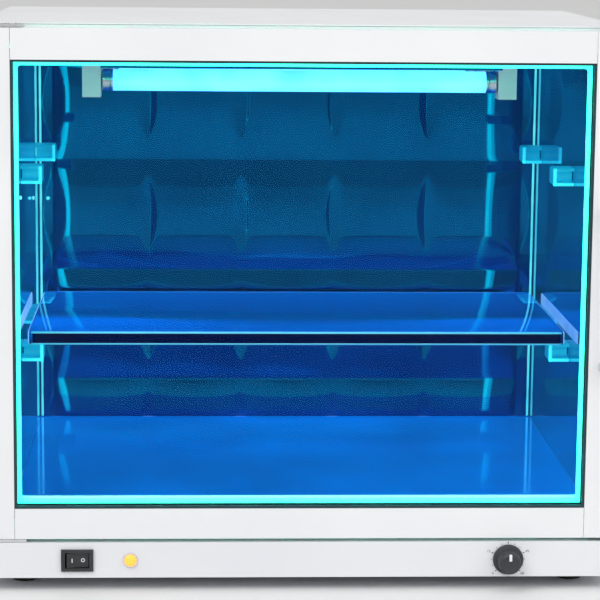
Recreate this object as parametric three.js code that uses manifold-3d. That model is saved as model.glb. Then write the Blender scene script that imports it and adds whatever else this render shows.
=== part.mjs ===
// Ultraviolet steriliser cabinet for a salon: a painted sheet-steel casing around a polished
// stainless chamber, with a glass shelf on side supports, two ultraviolet tubes under the
// ceiling, a control strip below and a hinged glazed door.
// Millimetres, +Z up, the door faces -Y. The origin is the middle of the underside.
import * as THREE from "three";
import { mergeVertices } from "three/addons/utils/BufferGeometryUtils.js";
import Module from "manifold-3d";

const wasm = await Module();
wasm.setup();

// Sheet and clearances
const STEEL = 1;
const LINER = 0.8;
const GAP = 0.3;

// Casing
const HALF_WIDTH = 228;
const CASE_DEPTH = 296;
const CASE_TOP = 405;
const FOOT_HEIGHT = 10;
const FOOT_RADIUS = 12;
const FOOT_X = 200;
const FOOT_INSETS = { front: 20, rear: 24 };
const STRIP_TOP = 36;

// Vents in the back cover and the base
const VENT_LENGTH = 50;
const VENT_HEIGHT = 3.5;
const VENT_COLUMN_PITCH = 62;
const VENT_ROW_PITCH = 9;
const VENT_ROWS = 5;
const VENT_LOWS = [66, 330];
const BASE_SLOT_WIDTH = 4;
const BASE_SLOT_PITCH = 20;
const BASE_SLOT_Y = [60, 110];

// Chamber, inside faces
const CHAMBER_HALF = 204;
const CHAMBER_DEPTH = 266;
const FLOOR_TOP = 68;
const CEILING = 380;

// Door
const DOOR_THICKNESS = 12;
const DOOR_BORDER = 23.5;
const DOOR_RAIL = 22;
const LIP_CUTBACK = 1.5;
const GLASS_THICKNESS = 4;
const SEAL_SIGHT = 1.8;
const SEAL_COVER = 3;
const GLAZING_BITE = 4.5;
const GASKET_HALF = 200;
const GASKET_WIDTH = 14;
const GASKET_SPACE = 3;
const DOOR_FOOT = 38.7;
const DOOR_HEAD = 402;
const HANDLE_PROUD = 28;
const HANDLE_LENGTH = 120;
const HANDLE_BAR = 8;
const HANDLE_WIDTH = 10;
const HANDLE_BEND = 9;

// Shelf and its supports
const SHELF_THICKNESS = 10;
const SHELF_HALF = 199.5;
const SHELF_SETBACK = 60;
const SHELF_DEPTH = 190;
const SHELF_CORNER = 6;
const SHELF_TOP = 176;
const SUPPORT_PITCH = 132;
const SUPPORT_WIDTH = 15.5;
const SUPPORT_HEIGHT = 13;
const SUPPORT_LENGTH = 20;
const SUPPORT_SETBACKS = { front: 66, rear: 228.5 };
const SUPPORT_WALL = 2.4;

// Lamps
const LAMP_HALF = 144;
const LAMP_RADIUS = 7.8;
const LAMP_DROP = 19;
const LAMP_SETBACKS = [66, 200];
const LAMP_CAP = 8;
const CONTACT_RADIUS = 1.15;
const PIN_SPREAD = 2.5;
const PIN_REACH = 7;
const HOLDER_LENGTH = 13.4;
const HOLDER_HALF = 9;
const HOLDER_FOOT = 12;
const REFLECTOR_SHEET = 0.8;
const REFLECTOR_SPARE = 26;
const REFLECTOR_FLARE = 12;
const REFLECTOR_DROP = 7;

// Controls on the strip
const CONTROL_Z = (FOOT_HEIGHT + STRIP_TOP) / 2;
const SWITCH_X = -160;
const PILOT_X = -122;
const TIMER_X = 150;
const SWITCH_FLANGE = [23, 16];
const SWITCH_BODY = [19, 12.8];
const SWITCH_WALL = 0.8;
const ROCKER_REST_TILT = 10;
const PILOT_RADIUS = 3.7;
const KNOB_SHAFT = 2.8;
const KNOB_RADIUS = 8.4;
const KNOB_SKIRT = 11;
const KNOB_PROUD = 15;

// Mains inlet in the back cover
const INLET_X = 160;
const INLET_Z = 34;
const INLET_BODY = [27.2, 20];
const INLET_RIM = [32, 24.4];
const INLET_SOCKET = [23.2, 15.6];
const INLET_DEPTH = 22;
const SOCKET_DEPTH = 15;
const INLET_FLANGE = 2;

// Parts in the base
const BALLAST_X = -15;
const BALLAST_SIZE = [150, 40, 28];
const BALLAST_EAR = 15;
const TERMINAL_X = 110;
const TERMINAL_Y = 70;
const TERMINAL_SCREW_PITCH = 10.7;
const LEAD_RADIUS = 2.4;

// Interlock and catch, behind the border of the door
const BEHIND_BORDER_X = 220;
const INTERLOCK_Z = 111;
const PLUNGER_RADIUS = 2.3;
const MAGNET_SIZE = [10, 14];
const STRIKE_SIZE = [10, 18];

// Hinges
const PIVOT_INSET = 6;
const PIN_RADIUS = 2.5;
const BRACKET_SHEET = 2;
const BRACKET_SPACE = 0.4;
const BRACKET_END = -196;
const BRACKET_FLANGE = [1.8, 11.5];
const BUSH_SIZE = [9, 14];
const PIN_DEPTH = 12;

// Planes that follow from the above
const REACH = HANDLE_PROUD + DOOR_THICKNESS + GASKET_SPACE;
const FRONT = REACH - (REACH + CASE_DEPTH + INLET_FLANGE) / 2;
const REAR = FRONT + CASE_DEPTH;
const CHAMBER_REAR = FRONT + CHAMBER_DEPTH;
const DOOR_REAR = FRONT - GASKET_SPACE;
const DOOR_FACE = DOOR_REAR - DOOR_THICKNESS;
const GLASS_FACE = (DOOR_FACE + DOOR_REAR - GLASS_THICKNESS) / 2;
const INNER_HALF = HALF_WIDTH - STEEL - GAP;
const LINER_HALF = CHAMBER_HALF + LINER;
const OPENING_HALF = HALF_WIDTH - DOOR_BORDER;
const OPENING_LOW = DOOR_FOOT + DOOR_RAIL;
const OPENING_HIGH = DOOR_HEAD - DOOR_RAIL;
const PIVOT_X = PIVOT_INSET - HALF_WIDTH;
const PIVOT_Y = (DOOR_FACE + DOOR_REAR) / 2;
const STILE_MIDDLE = OPENING_HALF + DOOR_BORDER / 2;
const DOOR_MIDDLE_Z = (DOOR_FOOT + DOOR_HEAD) / 2;
const SHELF_FRONT = FRONT + SHELF_SETBACK;
const LAMP_Z = CEILING - LAMP_DROP;
const BASE_TOP = FOOT_HEIGHT + STEEL;

// Finishes: colour, roughness, metalness
const WHITE_PAINT = [0xeceeef, 0.45, 0];
const MIRROR_STEEL = [0x9fb4c4, 0.12, 1];
const BRIGHT_STEEL = [0xc8ccd0, 0.3, 1];
const ZINC = [0xa9adb2, 0.5, 1];
const CLEAR_GLASS = [0xbfe0ea, 0.05, 0];
const CLOUDY_PLASTIC = [0xd9f1f4, 0.4, 0];
const WHITE_PLASTIC = [0xe8eaea, 0.5, 0];
const BLACK_PLASTIC = [0x1b1d20, 0.5, 0];
const BLACK_RUBBER = [0x151618, 0.85, 0];
const WHITE_VINYL = [0xe4f4f4, 0.6, 0];
const AMBER = [0xd98a2b, 0.3, 0];
const QUARTZ = [0xa6dcff, 0.1, 0];

// ---------------------------------------------------------------- geometry helpers

function solidOf(geometry) {
  const plain = geometry.clone();
  plain.deleteAttribute("normal");
  plain.deleteAttribute("uv");
  const merged = mergeVertices(plain, 1e-4);
  return new wasm.Manifold(
    new wasm.Mesh({
      numProp: 3,
      vertProperties: merged.attributes.position.array,
      triVerts: Uint32Array.from(merged.index.array),
    }),
  );
}

function geometryOf(solid) {
  const mesh = solid.getMesh();
  const geometry = new THREE.BufferGeometry();
  geometry.setAttribute("position", new THREE.BufferAttribute(mesh.vertProperties, 3));
  geometry.setIndex(new THREE.BufferAttribute(mesh.triVerts, 1));
  geometry.computeVertexNormals();
  return geometry;
}

function combine(base, added, removed) {
  let solid = solidOf(base);
  for (const extra of added) {
    solid = solid.add(solidOf(extra));
  }
  for (const tool of removed) {
    solid = solid.subtract(solidOf(tool));
  }
  return geometryOf(solid);
}

// A box between the limits given along each axis.
function block(x, y, z) {
  const box = new THREE.BoxGeometry(x[1] - x[0], y[1] - y[0], z[1] - z[0]);
  return box.translate((x[0] + x[1]) / 2, (y[0] + y[1]) / 2, (z[0] + z[1]) / 2);
}

// A box of a given width and height around a point, between two limits along Y.
function facing([width, height], y, x, z) {
  return block([x - width / 2, x + width / 2], y, [z - height / 2, z + height / 2]);
}

// The same size with a clearance on every side, for the hole that the box goes in.
function cleared([width, height]) {
  return [width + 2 * GAP, height + 2 * GAP];
}

function shapeOf(points) {
  return new THREE.Shape(points.map(([across, up]) => new THREE.Vector2(across, up)));
}

function rectangle(halfWidth, low, high) {
  return [
    [-halfWidth, low],
    [halfWidth, low],
    [halfWidth, high],
    [-halfWidth, high],
  ];
}

function extrude(shape, length) {
  return new THREE.ExtrudeGeometry(shape, { depth: length, bevelEnabled: false, curveSegments: 6 });
}

// A section drawn in Y and Z, run along X between two limits.
function alongX(shape, from, to) {
  const turn = new THREE.Matrix4().makeBasis(
    new THREE.Vector3(0, 1, 0),
    new THREE.Vector3(0, 0, 1),
    new THREE.Vector3(1, 0, 0),
  );
  return extrude(shape, to - from).applyMatrix4(turn).translate(from, 0, 0);
}

// A section drawn in X and Z, run along Y between two limits.
function alongY(shape, from, to) {
  return extrude(shape, to - from).rotateX(Math.PI / 2).translate(0, to, 0);
}

// A section drawn in X and Y, run along Z between two limits.
function alongZ(shape, from, to) {
  return extrude(shape, to - from).translate(0, 0, from);
}

// A turned piece from [radius, height] pairs that start and end on its axis.
function turned(profile, sides) {
  const points = profile.map(([radius, height]) => new THREE.Vector2(radius, height));
  return geometryOf(solidOf(new THREE.LatheGeometry(points, sides)));
}

function rodZ(radius, from, to, x, y, sides = 20) {
  return turned(rodProfile(radius, from, to), sides).rotateX(Math.PI / 2).translate(x, y, 0);
}

function rodY(radius, from, to, x, z, sides = 20) {
  return turned(rodProfile(radius, from, to), sides).translate(x, 0, z);
}

function rodProfile(radius, from, to) {
  return [
    [0, from],
    [radius, from],
    [radius, to],
    [0, to],
  ];
}

// A tube of round section laid through points.
function lead(points, radius, steps) {
  const section = new THREE.Shape();
  section.absarc(0, 0, radius, 0, 2 * Math.PI, false);
  const route = new THREE.CatmullRomCurve3(points.map((p) => new THREE.Vector3(...p)));
  return new THREE.ExtrudeGeometry(section, { steps, extrudePath: route, curveSegments: 4 });
}

function addPiece(parent, name, geometry, finish) {
  const [color, roughness, metalness] = finish;
  const material = new THREE.MeshStandardMaterial({ color, roughness, metalness });
  geometry.computeBoundingBox();
  const middle = geometry.boundingBox.getCenter(new THREE.Vector3());
  geometry.translate(-middle.x, -middle.y, -middle.z);
  const mesh = new THREE.Mesh(geometry, material);
  mesh.name = name;
  mesh.position.copy(middle).sub(parent.userData.origin);
  parent.add(mesh);
  return mesh;
}

function addGroup(parent, origin) {
  const group = new THREE.Group();
  group.userData.origin = new THREE.Vector3(...origin);
  group.position.copy(group.userData.origin);
  if (parent) {
    group.position.sub(parent.userData.origin);
    parent.add(group);
  }
  return group;
}

// A piece on each side: build(side) gives its geometry, side being -1 at the left.
function addPair(parent, name, build, finish) {
  addPiece(parent, `${name}_left`, build(-1), finish);
  addPiece(parent, `${name}_right`, build(1), finish);
}

function sorted(a, b) {
  return [Math.min(a, b), Math.max(a, b)];
}

// ---------------------------------------------------------------- casing

function ventSlots(low, y) {
  const tools = [];
  for (let row = 0; row < VENT_ROWS; row += 1) {
    const middle = low + row * VENT_ROW_PITCH + VENT_HEIGHT / 2;
    for (const column of [-1, 0, 1]) {
      tools.push(facing([VENT_LENGTH, VENT_HEIGHT], y, column * VENT_COLUMN_PITCH, middle));
    }
  }
  return tools;
}

function basePan() {
  const y = [DOOR_FACE + STEEL + GAP, REAR - STEEL - GAP];
  const plate = block([-INNER_HALF, INNER_HALF], y, [FOOT_HEIGHT, BASE_TOP]);
  const slots = [-3, -2, -1, 0, 1, 2, 3].map((place) => {
    const x = place * BASE_SLOT_PITCH;
    const across = [x - BASE_SLOT_WIDTH / 2, x + BASE_SLOT_WIDTH / 2];
    return block(across, BASE_SLOT_Y, [FOOT_HEIGHT - 1, BASE_TOP + 1]);
  });
  return combine(plate, [], slots);
}

function sidePanel(side) {
  const x = sorted(side * (HALF_WIDTH - STEEL), side * HALF_WIDTH);
  return block(x, [FRONT, REAR], [FOOT_HEIGHT, CASE_TOP - STEEL - GAP]);
}

function topPanel() {
  return block([-HALF_WIDTH, HALF_WIDTH], [FRONT, REAR], [CASE_TOP - STEEL, CASE_TOP]);
}

function backCover() {
  const y = [REAR - STEEL, REAR];
  const through = [y[0] - 1, y[1] + 1];
  const z = [BASE_TOP + GAP, CASE_TOP - STEEL - GAP];
  const plate = block([-INNER_HALF, INNER_HALF], y, z);
  const inlet = facing(cleared(INLET_BODY), through, INLET_X, INLET_Z);
  const vents = VENT_LOWS.flatMap((low) => ventSlots(low, through));
  return combine(plate, [], [inlet, ...vents]);
}

// The plate around the mouth of the chamber, with holes for the catch and the interlock.
function faceFrame() {
  const z = [STRIP_TOP + GAP, CASE_TOP - STEEL - GAP];
  const plate = block([-INNER_HALF, INNER_HALF], [FRONT, FRONT + STEEL], z);
  const through = [FRONT - 1, FRONT + STEEL + 1];
  const mouthHalf = LINER_HALF + GAP;
  const mouthHeight = [FLOOR_TOP - LINER - GAP, CEILING + LINER + GAP];
  const mouth = block([-mouthHalf, mouthHalf], through, mouthHeight);
  const magnetHole = facing(cleared(MAGNET_SIZE), through, BEHIND_BORDER_X, DOOR_MIDDLE_Z);
  const plungerHole = rodY(PLUNGER_RADIUS + 2 * GAP, ...through, BEHIND_BORDER_X, INTERLOCK_Z);
  return combine(plate, [], [mouth, magnetHole, plungerHole]);
}

// The folded control strip: a front face, a ledge under the door and two end cheeks.
function controlPanel() {
  const y = [DOOR_FACE, FRONT - GAP];
  const outer = block([-HALF_WIDTH, HALF_WIDTH], y, [FOOT_HEIGHT, STRIP_TOP]);
  const inside = block(
    [STEEL - HALF_WIDTH, HALF_WIDTH - STEEL],
    [DOOR_FACE + STEEL, FRONT + 1],
    [FOOT_HEIGHT - 1, STRIP_TOP - STEEL],
  );
  const through = [DOOR_FACE - 1, DOOR_FACE + STEEL + 1];
  const switchHole = facing(cleared(SWITCH_BODY), through, SWITCH_X, CONTROL_Z);
  const pilotHole = rodY(PILOT_RADIUS + GAP, ...through, PILOT_X, CONTROL_Z);
  const shaftHole = rodY(KNOB_SHAFT + 2 * GAP, ...through, TIMER_X, CONTROL_Z);
  return combine(outer, [], [inside, switchHole, pilotHole, shaftHole]);
}

function foot(x, y) {
  const tread = FOOT_RADIUS - 3;
  const profile = [
    [0, 0],
    [tread, 0],
    [tread + 1, 1],
    [FOOT_RADIUS, FOOT_HEIGHT - GAP],
    [0, FOOT_HEIGHT - GAP],
  ];
  return turned(profile, 24).rotateX(Math.PI / 2).translate(x, y, 0);
}

function buildCasing(parent) {
  const casing = addGroup(parent, [0, 0, 0]);
  addPiece(casing, "base_pan", basePan(), ZINC);
  addPair(casing, "side_panel", sidePanel, WHITE_PAINT);
  addPiece(casing, "top_panel", topPanel(), WHITE_PAINT);
  addPiece(casing, "back_cover", backCover(), WHITE_PAINT);
  addPiece(casing, "face_frame", faceFrame(), WHITE_PAINT);
  addPiece(casing, "control_panel", controlPanel(), WHITE_PAINT);
  const footY = { front: FRONT + FOOT_INSETS.front, rear: REAR - FOOT_INSETS.rear };
  for (const [end, y] of Object.entries(footY)) {
    addPair(casing, `foot_${end}`, (side) => foot(side * FOOT_X, y), BLACK_RUBBER);
  }
}

// ---------------------------------------------------------------- chamber

// The floor and the ceiling stand between the walls, which run past them.
function buildLiner(parent) {
  const liner = addGroup(parent, [0, 0, FLOOR_TOP]);
  const inside = [GAP - CHAMBER_HALF, CHAMBER_HALF - GAP];
  const depth = [FRONT, CHAMBER_REAR - GAP];
  const floor = block(inside, depth, [FLOOR_TOP - LINER, FLOOR_TOP]);
  addPiece(liner, "liner_floor", floor, MIRROR_STEEL);
  const ceiling = block(inside, depth, [CEILING, CEILING + LINER]);
  addPiece(liner, "liner_ceiling", ceiling, MIRROR_STEEL);
  const upright = [FLOOR_TOP - LINER, CEILING + LINER];
  const wall = (side) => block(sorted(side * CHAMBER_HALF, side * LINER_HALF), depth, upright);
  addPair(liner, "liner", wall, MIRROR_STEEL);
  const back = block([-LINER_HALF, LINER_HALF], [CHAMBER_REAR, CHAMBER_REAR + LINER], upright);
  addPiece(liner, "liner_back", back, MIRROR_STEEL);
}

// A short moulded bracket, hollow and open towards the wall, that the edge of the glass rests on.
function shelfSupport(side, top, front) {
  const wall = CHAMBER_HALF - GAP;
  const inner = wall - SUPPORT_WIDTH;
  const bottom = top - SUPPORT_HEIGHT;
  const section = [
    [wall, top],
    [inner, top],
    [inner, bottom],
    [wall, bottom],
    [wall, bottom + SUPPORT_WALL],
    [inner + SUPPORT_WALL, bottom + SUPPORT_WALL],
    [inner + SUPPORT_WALL, top - SUPPORT_WALL],
    [wall, top - SUPPORT_WALL],
  ];
  const points = section.map(([x, z]) => [side * x, z]);
  return alongY(shapeOf(points), front, front + SUPPORT_LENGTH);
}

function buildSupports(parent) {
  const lowerTop = SHELF_TOP - SHELF_THICKNESS - GAP;
  const levels = [["lower", lowerTop], ["upper", lowerTop + SUPPORT_PITCH]];
  for (const [level, top] of levels) {
    const supports = addGroup(parent, [0, 0, top]);
    for (const [end, setback] of Object.entries(SUPPORT_SETBACKS)) {
      const bracket = (side) => shelfSupport(side, top, FRONT + setback);
      addPair(supports, `shelf_support_${level}_${end}`, bracket, CLOUDY_PLASTIC);
    }
  }
}

function roundedPlate(half, low, high, radius) {
  const shape = new THREE.Shape();
  shape.moveTo(radius - half, low);
  shape.lineTo(half - radius, low);
  shape.absarc(half - radius, low + radius, radius, -Math.PI / 2, 0, false);
  shape.lineTo(half, high - radius);
  shape.absarc(half - radius, high - radius, radius, 0, Math.PI / 2, false);
  shape.lineTo(radius - half, high);
  shape.absarc(radius - half, high - radius, radius, Math.PI / 2, Math.PI, false);
  shape.lineTo(-half, low + radius);
  shape.absarc(radius - half, low + radius, radius, Math.PI, Math.PI * 1.5, false);
  return shape;
}

function buildShelf(parent) {
  const shelf = addGroup(parent, [0, SHELF_FRONT, SHELF_TOP]);
  const outline = roundedPlate(SHELF_HALF, SHELF_FRONT, SHELF_FRONT + SHELF_DEPTH, SHELF_CORNER);
  const plate = alongZ(outline, SHELF_TOP - SHELF_THICKNESS, SHELF_TOP);
  addPiece(shelf, "glass_shelf", geometryOf(solidOf(plate)), CLEAR_GLASS);
}

// ---------------------------------------------------------------- lamps

// A block with a round socket for the tube's pins and the slot that they go in through.
function lampHolder(side, y) {
  const near = LAMP_HALF + 2 * GAP;
  const x = sorted(side * near, side * (near + HOLDER_LENGTH));
  const body = block(x, [y - HOLDER_HALF, y + HOLDER_HALF], [LAMP_Z - HOLDER_FOOT, CEILING - GAP]);
  const socketX = sorted(side * (LAMP_HALF - 1), side * (LAMP_HALF + PIN_REACH + 3));
  const socket = turned(rodProfile(2 * PIN_SPREAD + 2 * GAP, ...socketX), 20)
    .rotateZ(-Math.PI / 2)
    .translate(0, y, LAMP_Z);
  const slotHalf = CONTACT_RADIUS + 2 * GAP;
  const slot = block(socketX, [y - slotHalf, y + slotHalf], [LAMP_Z - HOLDER_FOOT - 1, LAMP_Z]);
  return combine(body, [], [socket, slot]);
}

// A tube with a metal cap and two contact pins at each end.
function lamp(y) {
  const capRadius = LAMP_RADIUS + GAP;
  const profile = [
    [0, -LAMP_HALF],
    [capRadius, -LAMP_HALF],
    [capRadius, LAMP_CAP - LAMP_HALF],
    [LAMP_RADIUS, LAMP_CAP - LAMP_HALF],
    [LAMP_RADIUS, LAMP_HALF - LAMP_CAP],
    [capRadius, LAMP_HALF - LAMP_CAP],
    [capRadius, LAMP_HALF],
    [0, LAMP_HALF],
  ];
  const pins = [];
  for (const side of [-1, 1]) {
    const reach = sorted(side * (LAMP_HALF - 1), side * (LAMP_HALF + PIN_REACH));
    for (const offset of [-PIN_SPREAD, PIN_SPREAD]) {
      pins.push(turned(rodProfile(CONTACT_RADIUS, ...reach), 8).translate(0, 0, offset));
    }
  }
  return combine(turned(profile, 20), pins, []).rotateZ(-Math.PI / 2).translate(0, y, LAMP_Z);
}

// A folded sheet above the tubes, with its two long edges bent down.
function reflector() {
  const front = FRONT + LAMP_SETBACKS[0] - REFLECTOR_SPARE;
  const rear = FRONT + LAMP_SETBACKS[1] + REFLECTOR_SPARE;
  const top = CEILING - GAP;
  const edge = top - REFLECTOR_DROP;
  const section = [
    [front, top],
    [front - REFLECTOR_FLARE, edge],
    [front - REFLECTOR_FLARE, edge - REFLECTOR_SHEET],
    [front, top - REFLECTOR_SHEET],
    [rear, top - REFLECTOR_SHEET],
    [rear + REFLECTOR_FLARE, edge - REFLECTOR_SHEET],
    [rear + REFLECTOR_FLARE, edge],
    [rear, top],
  ];
  return alongX(shapeOf(section), GAP - LAMP_HALF, LAMP_HALF - GAP);
}

function buildLamps(parent) {
  const lamps = addGroup(parent, [0, 0, LAMP_Z]);
  addPiece(lamps, "lamp_reflector", reflector(), MIRROR_STEEL);
  LAMP_SETBACKS.forEach((setback, index) => {
    const y = FRONT + setback;
    const row = ["front", "rear"][index];
    addPair(lamps, `lamp_holder_${row}`, (side) => lampHolder(side, y), WHITE_PLASTIC);
    addPiece(lamps, `uv_lamp_${row}`, lamp(y), QUARTZ);
  });
}

// ---------------------------------------------------------------- electrical parts

// A case on a longer foot plate.
function ballast() {
  const [length, width, height] = BALLAST_SIZE;
  const foot = BASE_TOP + GAP;
  const y = [-width / 2, width / 2];
  const body = block([BALLAST_X - length / 2, BALLAST_X + length / 2], y, [foot, foot + height]);
  const reach = length / 2 + BALLAST_EAR;
  const plate = block([BALLAST_X - reach, BALLAST_X + reach], y, [foot, foot + 1.2]);
  return combine(plate, [body], []);
}

// A stepped block with a row of screw wells.
function terminalBlock() {
  const [half, base, crown] = [24, [18, 9], [10, 16]];
  const z = BASE_TOP + GAP;
  const x = [TERMINAL_X - half, TERMINAL_X + half];
  const step = ([width, height]) =>
    block(x, [TERMINAL_Y - width / 2, TERMINAL_Y + width / 2], [z, z + height]);
  const wells = [-1.5, -0.5, 0.5, 1.5].map((place) => {
    const middle = TERMINAL_X + place * TERMINAL_SCREW_PITCH;
    return rodZ(2.2, z + base[1] + 1, z + crown[1] + 2, middle, TERMINAL_Y, 12);
  });
  return combine(step(base), [step(crown)], wells);
}

function mainsInlet() {
  const body = facing(INLET_BODY, [REAR - INLET_DEPTH, REAR + 1], INLET_X, INLET_Z);
  const flange = facing(INLET_RIM, [REAR + GAP, REAR + INLET_FLANGE], INLET_X, INLET_Z);
  const socketY = [REAR - SOCKET_DEPTH, REAR + INLET_FLANGE + 1];
  const socket = facing(INLET_SOCKET, socketY, INLET_X, INLET_Z);
  return combine(body, [flange], [socket]);
}

function switchHousing() {
  const flange = facing(SWITCH_FLANGE, [DOOR_FACE - 1.8, DOOR_FACE - GAP], SWITCH_X, CONTROL_Z);
  const body = facing(SWITCH_BODY, [DOOR_FACE - 1, DOOR_FACE + 20], SWITCH_X, CONTROL_Z);
  const inside = SWITCH_BODY.map((size) => size - 2 * SWITCH_WALL);
  const cavity = facing(inside, [DOOR_FACE - 3, DOOR_FACE + 12], SWITCH_X, CONTROL_Z);
  return combine(flange, [body], [cavity]);
}

// The rocker pivots on a vertical axis. Its back is an arc about that axis.
function rocker() {
  const radius = SWITCH_BODY[0] / 2 - SWITCH_WALL - 0.9;
  const half = SWITCH_BODY[1] / 2 - SWITCH_WALL - 0.4;
  const shape = new THREE.Shape();
  shape.moveTo(-radius, -2);
  shape.lineTo(0, -0.8);
  shape.lineTo(radius, -2);
  shape.lineTo(radius, 0);
  shape.absarc(0, 0, radius, 0, Math.PI, false);
  return alongZ(shape, -half, half);
}

function addRocker(parent) {
  const pivot = addGroup(parent, [SWITCH_X, DOOR_FACE + 0.5, CONTROL_Z]);
  pivot.userData.origin.set(0, 0, 0);
  pivot.rotation.z = THREE.MathUtils.degToRad(ROCKER_REST_TILT);
  addPiece(pivot, "power_rocker", rocker(), BLACK_PLASTIC);
}

// A domed lens with a collar against the strip and a round stem behind it.
function pilotLens() {
  const collar = PILOT_RADIUS + 1.5;
  const profile = [
    [0, -4.2],
    [2.4, -3.8],
    [4, -2.6],
    [4.6, -1.4],
    [collar, -1.4],
    [collar, -GAP],
    [PILOT_RADIUS, -GAP],
    [PILOT_RADIUS, 12],
    [0, 12],
  ];
  return turned(profile, 20).translate(PILOT_X, DOOR_FACE, CONTROL_Z);
}

function timerBody() {
  const rear = DOOR_FACE + 24;
  const bore = KNOB_SHAFT + 2 * GAP;
  const body = block(
    [TIMER_X - 18, TIMER_X + 18],
    [DOOR_FACE + STEEL + GAP, rear],
    [BASE_TOP + GAP, STRIP_TOP - STEEL - GAP],
  );
  return combine(body, [], [rodY(bore, DOOR_FACE, rear - 8, TIMER_X, CONTROL_Z)]);
}

// The knob, its skirt, its pointer rib and the shaft it turns.
function timerKnob() {
  const face = DOOR_FACE - KNOB_PROUD;
  const shaftEnd = DOOR_FACE + 15;
  const profile = [
    [0, face],
    [KNOB_RADIUS - 1.4, face],
    [KNOB_RADIUS - 0.4, face + 1],
    [KNOB_RADIUS, DOOR_FACE - 4],
    [KNOB_SKIRT, DOOR_FACE - 3],
    [KNOB_SKIRT, DOOR_FACE - 0.5],
    [KNOB_SHAFT, DOOR_FACE - 0.5],
    [KNOB_SHAFT, shaftEnd],
    [0, shaftEnd],
  ];
  const rib = block([-1.2, 1.2], [face - 1.2, DOOR_FACE - 3.5], [2, 10]);
  return combine(turned(profile, 28), [rib], []).translate(TIMER_X, 0, CONTROL_Z);
}

function interlockSwitch() {
  const body = block(
    [BEHIND_BORDER_X - 11, INNER_HALF - GAP],
    [FRONT + STEEL + GAP, FRONT + 22],
    [INTERLOCK_Z - 11, INTERLOCK_Z + 11],
  );
  const bore = PLUNGER_RADIUS + 2 * GAP;
  return combine(body, [], [rodY(bore, FRONT, FRONT + 16, BEHIND_BORDER_X, INTERLOCK_Z)]);
}

function interlockPlunger() {
  const tip = DOOR_REAR + GAP;
  const profile = [
    [0, tip],
    [PLUNGER_RADIUS - 0.7, tip],
    [PLUNGER_RADIUS, tip + 0.8],
    [PLUNGER_RADIUS, FRONT + 15],
    [0, FRONT + 15],
  ];
  return turned(profile, 16).translate(BEHIND_BORDER_X, 0, INTERLOCK_Z);
}

function catchMagnet() {
  return facing(MAGNET_SIZE, [FRONT - 1.5, FRONT + 12], BEHIND_BORDER_X, DOOR_MIDDLE_Z);
}

function supplyLead() {
  const plug = REAR - INLET_DEPTH - GAP;
  const clamp = TERMINAL_Y + 9 + GAP;
  const entry = TERMINAL_X + 16;
  const low = BASE_TOP + 5.5;
  const route = [
    [INLET_X, plug, INLET_Z],
    [INLET_X, plug - 10, INLET_Z],
    [INLET_X - 12, plug - 30, 22],
    [entry, clamp + 14, low],
    [entry, clamp, low],
  ];
  return lead(route, LEAD_RADIUS, 18);
}

// From the ballast along the base, up behind the chamber and forward over its ceiling.
function lampLead() {
  const start = BALLAST_SIZE[1] / 2 + GAP;
  const rise = (CHAMBER_REAR + REAR) / 2;
  const roof = (CEILING + CASE_TOP) / 2;
  const route = [
    [BALLAST_X, start, 26],
    [BALLAST_X, 60, 24],
    [BALLAST_X, rise - 24, 26],
    [BALLAST_X, rise, 60],
    [BALLAST_X, rise, 200],
    [BALLAST_X, rise, roof - 26],
    [BALLAST_X, rise - 22, roof],
    [BALLAST_X, 40, roof],
  ];
  return lead(route, LEAD_RADIUS, 40);
}

function buildElectrics(parent) {
  const electrics = addGroup(parent, [0, 0, FOOT_HEIGHT]);
  addPiece(electrics, "ballast", ballast(), ZINC);
  addPiece(electrics, "terminal_block", terminalBlock(), WHITE_PLASTIC);
  addPiece(electrics, "mains_inlet", mainsInlet(), BLACK_PLASTIC);
  addPiece(electrics, "switch_housing", switchHousing(), BLACK_PLASTIC);
  addRocker(electrics);
  addPiece(electrics, "pilot_lens", pilotLens(), AMBER);
  addPiece(electrics, "timer_body", timerBody(), BLACK_PLASTIC);
  addPiece(electrics, "timer_knob", timerKnob(), BLACK_PLASTIC);
  addPiece(electrics, "interlock_switch", interlockSwitch(), BLACK_PLASTIC);
  addPiece(electrics, "interlock_plunger", interlockPlunger(), WHITE_PLASTIC);
  addPiece(electrics, "catch_magnet", catchMagnet(), ZINC);
  addPiece(electrics, "supply_lead", supplyLead(), BLACK_RUBBER);
  addPiece(electrics, "lamp_lead", lampLead(), BLACK_RUBBER);
}

// ---------------------------------------------------------------- hinges

function hingeBracketTop() {
  const low = DOOR_HEAD + BRACKET_SPACE;
  const [thickness, drop] = BRACKET_FLANGE;
  const plate = block(
    [GAP - HALF_WIDTH, BRACKET_END],
    [DOOR_FACE + 0.5, FRONT - GAP],
    [low, low + BRACKET_SHEET],
  );
  const flange = block(
    [PIVOT_X + PIVOT_INSET, BRACKET_END],
    [FRONT - GAP - thickness, FRONT - GAP],
    [DOOR_HEAD - drop, DOOR_HEAD + 1],
  );
  const hole = rodZ(PIN_RADIUS + GAP, DOOR_HEAD, DOOR_HEAD + 4, PIVOT_X, PIVOT_Y);
  return combine(plate, [flange], [hole]);
}

function hingeBracketBottom() {
  const high = DOOR_FOOT - BRACKET_SPACE;
  const plate = block(
    [GAP - HALF_WIDTH, BRACKET_END],
    [DOOR_FACE + 0.5, FRONT - GAP],
    [high - BRACKET_SHEET, high],
  );
  const hole = rodZ(PIN_RADIUS + GAP, STRIP_TOP - 1, DOOR_FOOT, PIVOT_X, PIVOT_Y);
  return combine(plate, [], [hole]);
}

function hingePin(from, to) {
  const chamfer = 0.6;
  const profile = [
    [0, from],
    [PIN_RADIUS - chamfer, from],
    [PIN_RADIUS, from + chamfer],
    [PIN_RADIUS, to - chamfer],
    [PIN_RADIUS - chamfer, to],
    [0, to],
  ];
  return turned(profile, 20).rotateX(Math.PI / 2).translate(PIVOT_X, PIVOT_Y, 0);
}

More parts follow.
